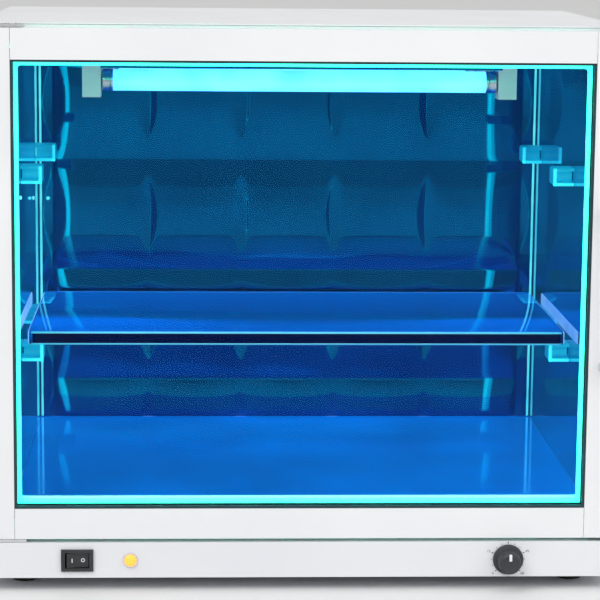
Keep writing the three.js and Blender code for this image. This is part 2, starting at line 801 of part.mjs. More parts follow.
function buildHinges(parent) {
  const hinges = addGroup(parent, [PIVOT_X, PIVOT_Y, 0]);
  addPiece(hinges, "hinge_bracket_top", hingeBracketTop(), BRIGHT_STEEL);
  addPiece(hinges, "hinge_bracket_bottom", hingeBracketBottom(), BRIGHT_STEEL);
  const over = BRACKET_SPACE + BRACKET_SHEET;
  addPiece(hinges, "hinge_pin_top", hingePin(DOOR_HEAD - PIN_DEPTH, DOOR_HEAD + over), ZINC);
  addPiece(hinges, "hinge_pin_bottom", hingePin(DOOR_FOOT - over, DOOR_FOOT + PIN_DEPTH), ZINC);
}

// ---------------------------------------------------------------- door

// The folded channel of the door frame, from its outer edge to its inner edge.
function channel(outer, inner) {
  const inward = Math.sign(inner - outer);
  const lip = inner - inward * LIP_CUTBACK;
  return [
    [outer, DOOR_FACE],
    [inner, DOOR_FACE],
    [inner, DOOR_FACE + STEEL],
    [outer + inward * STEEL, DOOR_FACE + STEEL],
    [outer + inward * STEEL, DOOR_REAR - STEEL],
    [lip, DOOR_REAR - STEEL],
    [lip, DOOR_REAR],
    [outer, DOOR_REAR],
  ];
}

function doorStile(side) {
  const section = channel(side * HALF_WIDTH, side * OPENING_HALF);
  return alongZ(shapeOf(section), DOOR_FOOT, DOOR_HEAD);
}

function doorRail(outer, inner) {
  const section = channel(outer, inner).map(([z, y]) => [y, z]);
  return alongX(shapeOf(section), GAP - OPENING_HALF, OPENING_HALF - GAP);
}

function ring(outerHalf, outerLow, outerHigh, border, y) {
  const shape = shapeOf(rectangle(outerHalf, outerLow, outerHigh));
  const inner = rectangle(outerHalf - border, outerLow + border, outerHigh - border);
  shape.holes.push(new THREE.Path(inner.map(([x, z]) => new THREE.Vector2(x, z))));
  return alongY(shape, ...y);
}

function glassSpan(spare) {
  const bite = GLAZING_BITE + spare;
  return block(
    [-OPENING_HALF - bite, OPENING_HALF + bite],
    [GLASS_FACE - spare, GLASS_FACE + GLASS_THICKNESS + spare],
    [OPENING_LOW - bite, OPENING_HIGH + bite],
  );
}

function glazingSeal() {
  const cover = GLAZING_BITE + SEAL_COVER;
  const frame = ring(
    OPENING_HALF + cover,
    OPENING_LOW - cover,
    OPENING_HIGH + cover,
    cover + SEAL_SIGHT,
    [DOOR_FACE + STEEL + GAP, DOOR_REAR - STEEL - GAP],
  );
  return combine(frame, [], [glassSpan(GAP)]);
}

function doorGasket() {
  const spare = OPENING_HALF - GASKET_HALF;
  const outerHalf = GASKET_HALF + GASKET_WIDTH;
  const low = OPENING_LOW + spare - GASKET_WIDTH;
  const high = OPENING_HIGH - spare + GASKET_WIDTH;
  return ring(outerHalf, low, high, GASKET_WIDTH, [DOOR_REAR + GAP, FRONT - GAP]);
}

// A bow handle: one bar bent down to the door at both ends.
function pullHandle() {
  const root = DOOR_FACE - GAP;
  const crest = DOOR_FACE - HANDLE_PROUD;
  const innerBend = HANDLE_BEND - HANDLE_BAR;
  const turn = crest + HANDLE_BEND;
  const [low, high] = [DOOR_MIDDLE_Z - HANDLE_LENGTH / 2, DOOR_MIDDLE_Z + HANDLE_LENGTH / 2];
  const shape = new THREE.Shape();
  shape.moveTo(root, low);
  shape.lineTo(root, low + HANDLE_BAR);
  shape.lineTo(turn, low + HANDLE_BAR);
  shape.absarc(turn, low + HANDLE_BEND, innerBend, -Math.PI / 2, -Math.PI, true);
  shape.lineTo(crest + HANDLE_BAR, high - HANDLE_BEND);
  shape.absarc(turn, high - HANDLE_BEND, innerBend, Math.PI, Math.PI / 2, true);
  shape.lineTo(root, high - HANDLE_BAR);
  shape.lineTo(root, high);
  shape.lineTo(turn, high);
  shape.absarc(turn, high - HANDLE_BEND, HANDLE_BEND, Math.PI / 2, Math.PI, false);
  shape.lineTo(crest, low + HANDLE_BEND);
  shape.absarc(turn, low + HANDLE_BEND, HANDLE_BEND, Math.PI, Math.PI * 1.5, false);
  const half = HANDLE_WIDTH / 2;
  return geometryOf(solidOf(alongX(shape, STILE_MIDDLE - half, STILE_MIDDLE + half)));
}

function hingeBush(low) {
  const [width, height] = BUSH_SIZE;
  const body = block(
    [PIVOT_X - width / 2, PIVOT_X + width / 2],
    [PIVOT_Y - width / 2, PIVOT_Y + width / 2],
    [low, low + height],
  );
  const bore = rodZ(PIN_RADIUS + GAP, low - 1, low + height + 1, PIVOT_X, PIVOT_Y);
  return combine(body, [], [bore]);
}

function catchStrike() {
  const y = [DOOR_REAR + GAP, DOOR_REAR + 1.2];
  return facing(STRIKE_SIZE, y, BEHIND_BORDER_X + 0.5, DOOR_MIDDLE_Z);
}

function buildDoor(parent) {
  const door = addGroup(parent, [PIVOT_X, PIVOT_Y, DOOR_FOOT]);
  addPair(door, "door_stile", doorStile, WHITE_PAINT);
  addPiece(door, "door_rail_top", doorRail(DOOR_HEAD, OPENING_HIGH), WHITE_PAINT);
  addPiece(door, "door_rail_bottom", doorRail(DOOR_FOOT, OPENING_LOW), WHITE_PAINT);
  addPiece(door, "door_glass", glassSpan(0), CLEAR_GLASS);
  addPiece(door, "glazing_seal", glazingSeal(), BLACK_RUBBER);
  addPiece(door, "door_gasket", doorGasket(), WHITE_VINYL);
  addPiece(door, "pull_handle", pullHandle(), BRIGHT_STEEL);
  addPiece(door, "hinge_bush_top", hingeBush(DOOR_HEAD - BUSH_SIZE[1]), WHITE_PLASTIC);
  addPiece(door, "hinge_bush_bottom", hingeBush(DOOR_FOOT), WHITE_PLASTIC);
  addPiece(door, "catch_strike", catchStrike(), ZINC);
}

// ---------------------------------------------------------------- assembly

const cabinet = addGroup(null, [0, 0, 0]);
buildCasing(cabinet);
buildLiner(cabinet);
buildSupports(cabinet);
buildShelf(cabinet);
buildLamps(cabinet);
buildElectrics(cabinet);
buildHinges(cabinet);
buildDoor(cabinet);

export default cabinet;
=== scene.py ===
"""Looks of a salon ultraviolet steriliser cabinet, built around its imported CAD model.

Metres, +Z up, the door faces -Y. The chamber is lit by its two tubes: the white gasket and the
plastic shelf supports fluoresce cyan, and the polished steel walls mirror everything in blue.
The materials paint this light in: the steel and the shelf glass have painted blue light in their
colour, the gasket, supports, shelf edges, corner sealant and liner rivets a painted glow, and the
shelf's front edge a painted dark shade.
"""
import math

import bmesh
import bpy
from mathutils import Matrix, Vector


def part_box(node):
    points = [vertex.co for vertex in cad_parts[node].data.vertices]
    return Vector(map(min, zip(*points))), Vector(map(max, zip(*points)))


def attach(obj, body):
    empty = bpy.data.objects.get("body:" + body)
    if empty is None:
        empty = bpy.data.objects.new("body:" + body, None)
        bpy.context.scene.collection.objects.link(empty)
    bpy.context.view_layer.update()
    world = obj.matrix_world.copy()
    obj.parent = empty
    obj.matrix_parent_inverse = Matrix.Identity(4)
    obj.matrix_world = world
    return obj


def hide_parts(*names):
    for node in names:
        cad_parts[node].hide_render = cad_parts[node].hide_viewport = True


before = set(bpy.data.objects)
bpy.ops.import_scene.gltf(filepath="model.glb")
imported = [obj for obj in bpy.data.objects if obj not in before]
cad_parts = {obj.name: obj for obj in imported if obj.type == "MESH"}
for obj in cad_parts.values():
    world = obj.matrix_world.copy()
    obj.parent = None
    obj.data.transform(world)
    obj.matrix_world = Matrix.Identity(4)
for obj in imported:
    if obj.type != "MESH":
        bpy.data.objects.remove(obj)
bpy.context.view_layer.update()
MM = 0.001


# ---------------------------------------------------------------- the frame's own sizes

def low_of(node):
    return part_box(node)[0]


def high_of(node):
    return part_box(node)[1]


def middle_of(node):
    low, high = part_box(node)
    return (low + high) / 2


WALL_X = low_of("liner_right").x
BACK_Y = low_of("liner_back").y
CHAMBER_FRONT = low_of("liner_floor").y
FLOOR_Z = high_of("liner_floor").z
CEILING_Z = low_of("liner_ceiling").z
STRIP_FACE = low_of("control_panel").y
REAR_Y = high_of("back_cover").y
SIDE_X = high_of("side_panel_right").x
CONTROL_Z = middle_of("switch_housing").z


# ---------------------------------------------------------------- camera

CAMERA_PLACE = (-0.0766, -1.7511, 0.4757)
CAMERA_YAW = math.radians(2.652)
CAMERA_PITCH = math.radians(9.293)
CAMERA_ROLL = math.radians(0.55)
CAMERA_LENS = 138.65


def add_camera():
    data = bpy.data.cameras.new("camera")
    data.lens = CAMERA_LENS
    camera = bpy.data.objects.new("camera", data)
    bpy.context.scene.collection.objects.link(camera)
    ahead = Vector((
        math.sin(CAMERA_YAW) * math.cos(CAMERA_PITCH),
        math.cos(CAMERA_YAW) * math.cos(CAMERA_PITCH),
        -math.sin(CAMERA_PITCH),
    ))
    level = Vector((math.cos(CAMERA_YAW), -math.sin(CAMERA_YAW), 0))
    upright = level.cross(ahead)
    right = level * math.cos(CAMERA_ROLL) + upright * math.sin(CAMERA_ROLL)
    up = upright * math.cos(CAMERA_ROLL) - level * math.sin(CAMERA_ROLL)
    turn = Matrix((right, up, -ahead)).transposed().to_4x4()
    camera.matrix_world = Matrix.Translation(CAMERA_PLACE) @ turn
    bpy.context.scene.camera = camera


# ---------------------------------------------------------------- materials

NOISE_LOW, NOISE_HIGH = 0.3, 0.7


class Finish:
    """A Principled material whose sockets take constants or textures in the object's own space."""

    def __init__(self, name, **sockets):
        self.material = bpy.data.materials.new(name)
        self.material.use_nodes = True
        self.nodes = self.material.node_tree.nodes
        self.links = self.material.node_tree.links
        self.shader = self.nodes["Principled BSDF"]
        for socket, value in sockets.items():
            self.set(socket.replace("_", " "), value)

    def set(self, socket, value):
        if isinstance(value, tuple) and len(value) == 3:
            value = (*value, 1)
        self.shader.inputs[socket].default_value = value

    def noise(self, scale, detail=3.0, stretch=(1, 1, 1)):
        place = self.nodes.new("ShaderNodeTexCoord")
        mapping = self.nodes.new("ShaderNodeMapping")
        mapping.inputs["Scale"].default_value = stretch
        texture = self.nodes.new("ShaderNodeTexNoise")
        texture.inputs["Scale"].default_value = scale
        texture.inputs["Detail"].default_value = detail
        self.links.new(place.outputs["Object"], mapping.inputs["Vector"])
        self.links.new(mapping.outputs["Vector"], texture.inputs["Vector"])
        return texture.outputs["Fac"]

    def along_y(self, front, rear):
        """A factor that rises evenly from front to rear, over the range that spread() takes."""
        place = self.nodes.new("ShaderNodeTexCoord")
        parts = self.nodes.new("ShaderNodeSeparateXYZ")
        scale = self.nodes.new("ShaderNodeMapRange")
        scale.inputs["From Min"].default_value = front
        scale.inputs["From Max"].default_value = rear
        scale.inputs["To Min"].default_value = NOISE_LOW
        scale.inputs["To Max"].default_value = NOISE_HIGH
        self.links.new(place.outputs["Object"], parts.inputs["Vector"])
        self.links.new(parts.outputs["Y"], scale.inputs["Value"])
        return scale.outputs["Result"]

    def spread(self, factor, low, high):
        """Stretches the range that nearly all noise falls in over low to high."""
        scale = self.nodes.new("ShaderNodeMapRange")
        scale.inputs["From Min"].default_value = NOISE_LOW
        scale.inputs["From Max"].default_value = NOISE_HIGH
        scale.inputs["To Min"].default_value = low
        scale.inputs["To Max"].default_value = high
        self.links.new(factor, scale.inputs["Value"])
        return scale.outputs["Result"]

    def vary_color(self, factor, first, second, socket="Base Color"):
        mix = self.nodes.new("ShaderNodeMix")
        mix.data_type = "RGBA"
        mix.inputs["A"].default_value = (*first, 1)
        mix.inputs["B"].default_value = (*second, 1)
        self.links.new(self.spread(factor, 0, 1), mix.inputs["Factor"])
        self.links.new(mix.outputs["Result"], self.shader.inputs[socket])
        return self

    def vary_roughness(self, factor, low, high):
        self.links.new(self.spread(factor, low, high), self.shader.inputs["Roughness"])
        return self

    def bump(self, height, strength, distance):
        node = self.nodes.new("ShaderNodeBump")
        node.inputs["Strength"].default_value = strength
        node.inputs["Distance"].default_value = distance
        self.links.new(height, node.inputs["Height"])
        self.links.new(node.outputs["Normal"], self.shader.inputs["Normal"])
        return self


def painted(name, light, shade):
    """Satin powder coat: fine orange peel and a faint unevenness of colour."""
    finish = Finish(name, Coat_Weight=0.12, Coat_Roughness=0.3)
    finish.vary_color(finish.noise(9, 4), shade, light)
    finish.vary_roughness(finish.noise(60, 5), 0.38, 0.5)
    finish.bump(finish.noise(1400, 2), 0.12, 0.15 * MM)
    return finish.material


def mirror(name, bright, dull, painted_scatter_glow, roughness=(0.05, 0.12)):
    """Polished stainless steel with wiping marks; the blue of the lamps' light is painted into its base
    colour, and its emission is a painted glow of scattered light.
    """
    finish = Finish(name, Metallic=1.0)
    finish.vary_color(finish.noise(14, 5), dull, bright)
    finish.vary_roughness(finish.noise(40, 8, (1, 1, 3)), *roughness)
    finish.vary_color(finish.noise(7, 3), tuple(0.6 * part for part in painted_scatter_glow), painted_scatter_glow, "Emission Color")
    finish.set("Emission Strength", 1.0)
    return finish.material


def metal(name, light, shade, roughness, grain=(1, 1, 1), depth=0.05):
    """Bare or plated metal with a fine grain, stretched along the way it was brushed."""
    finish = Finish(name, Metallic=1.0)
    finish.vary_color(finish.noise(180, 5, grain), shade, light)
    finish.vary_roughness(finish.noise(420, 4, grain), *roughness)
    finish.bump(finish.noise(900, 3, grain), depth, 0.1 * MM)
    return finish.material


def plastic(name, light, shade, roughness, grain=1600, depth=0.15, **sockets):
    """Moulded plastic or rubber with a fine spark-eroded texture."""
    finish = Finish(name, **sockets)
    finish.vary_color(finish.noise(30, 4), shade, light)
    finish.vary_roughness(finish.noise(300, 3), *roughness)
    finish.bump(finish.noise(grain, 2), depth, 0.1 * MM)
    return finish.material


def glass(name, tint, ior, smudge):
    """Clear glass with faint smudges."""
    finish = Finish(name, Transmission_Weight=1.0, IOR=ior)
    finish.vary_color(finish.noise(12, 3), tuple(0.985 * part for part in tint), tint)
    finish.vary_roughness(finish.noise(26, 6), 0.0, smudge)
    return finish.material


def lit_glass(name, tint, ior, front_glow, rear_glow, front, rear):
    """Clear glass whose top face has a painted glow of the lamps' scattered light, more at its rear than
    at its front.
    """
    finish = Finish(name, Transmission_Weight=1.0, IOR=ior, Emission_Strength=1.0)
    finish.vary_color(finish.along_y(front, rear), front_glow, rear_glow, "Emission Color")
    finish.vary_color(finish.noise(12, 3), tuple(0.985 * part for part in tint), tint)
    finish.vary_roughness(finish.noise(26, 6), 0.0, 0.012)
    return finish.material


def glowing(name, base, dim, bright, strength, roughness=0.35, scale=60, **sockets):
    """A surface that gives out light, a little unevenly."""
    finish = Finish(name, Emission_Strength=strength, **sockets)
    finish.vary_color(finish.noise(scale, 4), tuple(0.92 * part for part in base), base)
    finish.vary_color(finish.noise(scale * 0.6, 3), dim, bright, "Emission Color")
    finish.vary_roughness(finish.noise(200, 3), roughness - 0.06, roughness + 0.06)
    return finish.material


PAINT = painted("white_powder_coat", (0.84, 0.85, 0.86), (0.79, 0.80, 0.82))
STRIP_PAINT = painted("strip_powder_coat", (0.80, 0.81, 0.83), (0.75, 0.76, 0.79))
# One polished steel in lit and shaded copies: the blue of each base colour is painted lamp light and
# each emission a painted glow, darkest on the embossed back wall, strongest glow on the floor.
BACK_STEEL = mirror(
    "embossed_steel", (0.0, 0.1, 0.24), (0.0, 0.075, 0.2), (0.0, 0.012, 0.05), (0.015, 0.04),
)
WALL_STEEL = mirror("wall_steel", (0.0, 0.24, 0.42), (0.0, 0.19, 0.36), (0.0, 0.05, 0.12), (0.02, 0.05))
FLOOR_STEEL = mirror("floor_steel", (0.0, 0.14, 0.42), (0.0, 0.1, 0.36), (0.0, 0.15, 0.62), (0.05, 0.1))
BRIGHT = metal("satin_steel", (0.78, 0.79, 0.81), (0.68, 0.69, 0.71), (0.22, 0.34), (1, 1, 0.05))
ZINC = metal("zinc_plate", (0.66, 0.68, 0.72), (0.52, 0.55, 0.6), (0.34, 0.5))
SCREW = metal("nickel_screw", (0.72, 0.72, 0.72), (0.6, 0.6, 0.61), (0.2, 0.32))
DOOR_GLASS = glass("door_glass", (0.86, 0.96, 0.99), 1.12, 0.01)
# The shelf glass's strong blue tint, here and on its top face, is painted blue lamp light.
SHELF_GLASS = glass("shelf_glass", (0.5, 0.8, 1.0), 1.5, 0.012)
LIT_GLASS = lit_glass(
    "lit_shelf_face", (0.3, 0.75, 1.0), 1.5, (0.0, 0.0, 0.01), (0.0, 0.06, 0.3),
    low_of("glass_shelf").y, high_of("glass_shelf").y,
)
# The glass shelf's front edge is drawn as opaque dark navy that barely reflects: painted shade on its
# unlit face.
PAINTED_SHADE_EDGE = plastic(
    "shelf_front_edge_painted_shade", (0.0, 0.006, 0.07), (0.0, 0.003, 0.04), (0.08, 0.14), 900, 0.02, IOR=1.05,
)
BLACK = plastic("black_plastic", (0.035, 0.036, 0.04), (0.02, 0.021, 0.024), (0.4, 0.52))
WHITE = plastic("white_plastic", (0.86, 0.87, 0.87), (0.8, 0.81, 0.82), (0.38, 0.5))
RUBBER = plastic("black_rubber", (0.03, 0.03, 0.032), (0.016, 0.016, 0.018), (0.7, 0.85), 900, 0.3)
SEAL = plastic("seal_rubber", (0.012, 0.05, 0.07), (0.006, 0.03, 0.045), (0.5, 0.65), 900, 0.2)
PRINT = plastic("dial_print", (0.07, 0.075, 0.085), (0.05, 0.055, 0.06), (0.5, 0.6))
WHITE_PRINT = plastic("white_print", (0.85, 0.85, 0.85), (0.78, 0.78, 0.78), (0.45, 0.55))
# The white vinyl gasket is no lamp: its cyan emission is a painted glow for its fluorescence under the
# tubes.
PAINTED_GLOW_GASKET = glowing("gasket_vinyl_painted_glow", (0.3, 0.9, 0.95), (0.006, 0.85, 0.5), (0.009, 1.0, 0.58), 5.0)
# The cloudy supports are no lamps: their emission is a painted glow for fluorescence, and their lips get
# a brighter painted highlight.
PAINTED_GLOW_CLOUDY = glowing(
    "cloudy_plastic", (0.04, 0.5, 0.62), (0.0, 0.16, 0.3), (0.003, 0.34, 0.46), 0.55, 0.35, 110,
    Transmission_Weight=0.5, IOR=1.45,
)
PAINTED_HIGHLIGHT_RIM = glowing("cloudy_rim_painted_highlight", (0.1, 0.8, 0.9), (0.01, 0.7, 0.85), (0.03, 0.9, 1.0), 0.7)
# The shelf's ground sides get a painted glow for the lamp light that the glass pipes to its edges.
PAINTED_GLOW_GROUND_EDGE = glowing(
    "ground_glass_edge_painted_glow", (0.5, 0.75, 1.0), (0.16, 0.4, 0.95), (0.42, 0.62, 1.0), 0.9,
    Transmission_Weight=0.5, IOR=1.5,
)
# The rounded arris along the shelf's front gets a painted highlight.
PAINTED_HIGHLIGHT_ARRIS = glowing("arris_painted_highlight", (0.2, 0.7, 0.8), (0.012, 0.2, 0.42), (0.04, 0.34, 0.6), 0.55, 0.2, 20)
# The corner sealant and the liner rivets get a painted glow for the bright lines and glints there.
SEALANT_AND_RIVET_GLOW = glowing("sealant_and_rivet_painted_glow", (0.3, 0.8, 0.8), (0.03, 0.5, 0.5), (0.14, 0.85, 0.8), 1.0)
TUBE = glowing("lit_quartz", (0.3, 0.7, 1.0), (0.05, 0.36, 1.0), (0.1, 0.5, 1.0), 2.2, 0.1)
PILOT = glowing("amber_lens", (0.9, 0.4, 0.06), (0.8, 0.22, 0.02), (1.0, 0.36, 0.04), 1.3, 0.12)
LENS_BACK = plastic("lamp_cap", (0.62, 0.64, 0.68), (0.5, 0.52, 0.56), (0.25, 0.35), Metallic=1.0)


# ---------------------------------------------------------------- mesh helpers

def place_along(point, direction, across=(0, 0, 1)):
    """A matrix that stands local +Z along a direction at a point, with +Y nearest to across."""
    up = Vector(direction).normalized()
    side = Vector(across).cross(up)
    if side.length < 1e-6:
        side = Vector((1, 0, 0)).cross(up)
    side.normalize()
    turn = Matrix((side, up.cross(side), up)).transposed().to_4x4()
    return Matrix.Translation(point) @ turn


def rings_to_faces(mesh, rings, closed=True, around=True, material=0):
    """Joins equal rings of vertices with quads."""
    count = len(rings[0])
    spans = range(len(rings) if closed else len(rings) - 1)
    steps = range(count if around else count - 1)
    for i in spans:
        here, there = rings[i], rings[(i + 1) % len(rings)]
        for j in steps:
            k = (j + 1) % count
            face = mesh.faces.new((here[j], here[k], there[k], there[j]))
            face.material_index = material


def add_lathe(mesh, profile, sides, where=Matrix(), material=0, ripple=None):
    """Turns [radius, height] pairs about local Z. A radius of 0 is a point on the axis.
    ripple(angle, radius, height) may give another radius."""
    rings = []
    for radius, height in profile:
        if radius == 0:
            rings.append([mesh.verts.new(where @ Vector((0, 0, height)))])
            continue
        ring = []
        for step in range(sides):
            angle = 2 * math.pi * step / sides
            reach = ripple(angle, radius, height) if ripple else radius
            point = Vector((reach * math.cos(angle), reach * math.sin(angle), height))
            ring.append(mesh.verts.new(where @ point))
        rings.append(ring)
    for low, high in zip(rings, rings[1:]):
        for step in range(sides):
            after = (step + 1) % sides
            if len(low) == 1:
                corners = (low[0], high[after], high[step])
            elif len(high) == 1:
                corners = (low[step], low[after], high[0])
            else:
                corners = (low[step], low[after], high[after], high[step])
            mesh.faces.new(corners).material_index = material


def add_block(mesh, low, high, bevel=0.4 * MM, material=0, segments=2):
    """A box with rounded edges between two corners."""
    size = Vector(high) - Vector(low)
    where = Matrix.Translation((Vector(high) + Vector(low)) / 2) @ Matrix.Diagonal((*size, 1))
    made = bmesh.ops.create_cube(mesh, size=1, matrix=where)
    edges = list({edge for vert in made["verts"] for edge in vert.link_edges})
    faces = {face for vert in made["verts"] for face in vert.link_faces}
    for face in faces:
        face.material_index = material
    if bevel:
        bmesh.ops.bevel(
            mesh, geom=edges, offset=min(bevel, 0.45 * min(size)), segments=segments,
            profile=0.5, affect="EDGES", material=material,
        )


def add_prism(mesh, outline, where, depth, bevel=0.0, material=0, segments=2):
    """A closed outline of (across, up) points, run along local Z from 0 to depth."""
    ends = [
        [mesh.verts.new(where @ Vector((x, y, z))) for x, y in outline] for z in (0, depth)
    ]
    faces = [mesh.faces.new(list(reversed(ends[0]))), mesh.faces.new(ends[1])]
    count = len(outline)
    for j in range(count):
        k = (j + 1) % count
        faces.append(mesh.faces.new((ends[0][j], ends[0][k], ends[1][k], ends[1][j])))
    for face in faces:
        face.material_index = material
    if bevel:
        rim = [edge for face in faces[:2] for edge in face.edges]
        bmesh.ops.bevel(
            mesh, geom=rim, offset=bevel, segments=segments, profile=0.5, affect="EDGES",
            material=material,
        )


def arc(centre, radius, start, stop, steps):
    """Points on an arc, angles in degrees."""
    points = []
    for step in range(steps + 1):
        angle = math.radians(start + (stop - start) * step / steps)
        points.append((centre[0] + radius * math.cos(angle), centre[1] + radius * math.sin(angle)))
    return points


def rounded_rectangle(x, y, radius, steps=6):
    """Points of a rectangle between (low, high) pairs with round corners, anticlockwise."""
    corners = (
        (x[1] - radius, y[0] + radius, -90), (x[1] - radius, y[1] - radius, 0),
        (x[0] + radius, y[1] - radius, 90), (x[0] + radius, y[0] + radius, 180),
    )
    points = []
    for across, up, start in corners:
        points += arc((across, up), radius, start, start + 90, steps)
    return points


def add_sweep(mesh, section, route, sides_of, closed=False, material=0):
    """Runs a closed section of (a, b) points along a route. sides_of(i) gives the two axes."""
    rings = []
    for i, point in enumerate(route):
        first, second = sides_of(i)
        rings.append([mesh.verts.new(point + first * a + second * b) for a, b in section])
    rings_to_faces(mesh, rings, closed, True, material)
    if not closed:
        mesh.faces.new(list(reversed(rings[0]))).material_index = material
        mesh.faces.new(rings[-1]).material_index = material


def add_border(mesh, section, half, low, high, corner, material=0, steps=5):
    """A frame in the door's plane: a section of (outward, y) points around a rectangle."""
    rings = []
    for outward, y in section:
        loop = rounded_rectangle(
            (-half - outward, half + outward), (low - outward, high + outward),
            max(corner + outward, 0.2 * MM), steps,
        )
        rings.append([mesh.verts.new((x, y, z)) for x, z in loop])
    rings_to_faces(mesh, rings, True, True, material)


def weld(mesh):
    """Joins the first and last rings of profiles that close on themselves."""
    bmesh.ops.remove_doubles(mesh, verts=mesh.verts, dist=0.001 * MM)


def piece(name, mesh, materials, body, replaces=(), angle=35, clean=True):
    """Turns a bmesh into an object that rides on a body."""
    if clean:
        bmesh.ops.recalc_face_normals(mesh, faces=mesh.faces)
    data = bpy.data.meshes.new(name)
    mesh.to_mesh(data)
    mesh.free()
    for material in materials:
        data.materials.append(material)
    data.shade_smooth()
    data.set_sharp_from_angle(angle=math.radians(angle))
    thing = bpy.data.objects.new(name, data)
    bpy.context.scene.collection.objects.link(thing)
    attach(thing, body)
    if replaces:
        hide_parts(*replaces)
    return thing


# ---------------------------------------------------------------- embossed back wall

# Vertical seams and horizontal creases divide the sheet into cushions. A lens-shaped dimple lies
# on each seam between two creases.
SEAM_PITCH = 76.4 * MM
SEAM_COUNT = 6
CREASE_PITCH = 91.4 * MM
CREASE_HIGHEST = 0.375
CUSHION_RISE = 2.5 * MM
CUSHION_FALL = 0.16
DIMPLE_HALF_WIDTH = 7.5 * MM
DIMPLE_HALF_HEIGHT = 32.5 * MM
DIMPLE_DEPTH = 1.7 * MM
CORNER_BEND = 1.5 * MM
CORNER_FLANGE = 2 * MM
EDGE_FADE = 4 * MM
SHEET_THICKNESS = 0.6 * MM

# The bead of sealant in each rear corner.
SEAL_SETBACK = 1.7 * MM
SEAL_RADIUS = 0.9 * MM


def emboss(x, z):
    """How far the back wall stands into the chamber at a point."""
    first_seam = -SEAM_PITCH * (SEAM_COUNT - 1) / 2
    column = (x - first_seam) / SEAM_PITCH
    row = (CREASE_HIGHEST - z) / CREASE_PITCH
    v = 2 * (row - math.floor(row)) - 1
    rise = 0.0
    if 0 < column < SEAM_COUNT - 1:
        u = 2 * (column - math.floor(column)) - 1
        rise = CUSHION_RISE * (1 - v * v) * (1 - CUSHION_FALL * u * u)
    nearest = max(0, min(SEAM_COUNT - 1, round(column)))
    aside = abs(x - first_seam - nearest * SEAM_PITCH)
    t = v * CREASE_PITCH / 2 / DIMPLE_HALF_HEIGHT
    if abs(t) < 1:
        half = DIMPLE_HALF_WIDTH * (1 - t * t)
        if aside < half:
            rise -= DIMPLE_DEPTH * (1 - t * t) * (1 - (aside / half) ** 2)
    fade = min(1.0, (CEILING_Z - z) / EDGE_FADE, (z - FLOOR_Z) / EDGE_FADE)
    return rise * max(0.0, fade)


def build_back_wall():
    """The embossed sheet, whose two sides bend forward along the chamber's walls."""
    low, high = FLOOR_Z + 0.3 * MM, CEILING_Z - 0.3 * MM
    columns, rows = 272, 176
    flat_half = WALL_X - CORNER_BEND
    bends = []
    wall = WALL_X - 0.2 * MM
    for side in (-1, 1):
        bend = [(side * wall, BACK_Y - CORNER_BEND - CORNER_FLANGE)]
        for step in range(9):
            turn = math.radians(90 * step / 9)
            bend.append((
                side * (wall - CORNER_BEND + CORNER_BEND * math.cos(turn)),
                BACK_Y - CORNER_BEND + CORNER_BEND * math.sin(turn),
            ))
        bends.append(bend)
    flat = [
        (-flat_half + 2 * flat_half * step / columns, BACK_Y) for step in range(columns + 1)
    ]
    path = bends[0] + flat + list(reversed(bends[1]))
    mesh = bmesh.new()
    grid = []
    for row in range(rows + 1):
        z = low + (high - low) * row / rows
        line = []
        for x, y in path:
            into = emboss(x, z) if abs(x) <= flat_half else 0.0
            line.append(mesh.verts.new((x, y - into, z)))
        grid.append(line)
    rings_to_faces(mesh, grid, False, False)
    wall_piece = piece(
        "embossed_back_wall", mesh, [BACK_STEEL], "cabinet", ["liner_back"],
        angle=180, clean=False,
    )
    sheet = wall_piece.modifiers.new("sheet", "SOLIDIFY")
    sheet.thickness = SHEET_THICKNESS
    sheet.offset = 1
    return wall_piece


def build_corner_seal(side, name):
    """A bead of sealant down the seam between the back wall and a side wall, with a painted glow."""
    mesh = bmesh.new()
    centre = (side * (WALL_X - SEAL_SETBACK), BACK_Y - SEAL_SETBACK - CUSHION_RISE * 0.2)
    rings = []
    low, high, steps, sides = FLOOR_Z + 1 * MM, CEILING_Z - 1 * MM, 80, 10
    for step in range(steps + 1):
        z = low + (high - low) * step / steps
        radius = SEAL_RADIUS * (1 + 0.12 * math.sin(0.9 * step) * math.sin(0.37 * step))
        rings.append([
            mesh.verts.new((
                centre[0] + radius * math.cos(2 * math.pi * j / sides),
                centre[1] + radius * math.sin(2 * math.pi * j / sides), z,
            ))
            for j in range(sides)
        ])
    rings_to_faces(mesh, rings, False)
    mesh.faces.new(list(reversed(rings[0])))
    mesh.faces.new(rings[-1])
    piece(name, mesh, [SEALANT_AND_RIVET_GLOW], "cabinet", angle=70)


# ---------------------------------------------------------------- shelf and supports

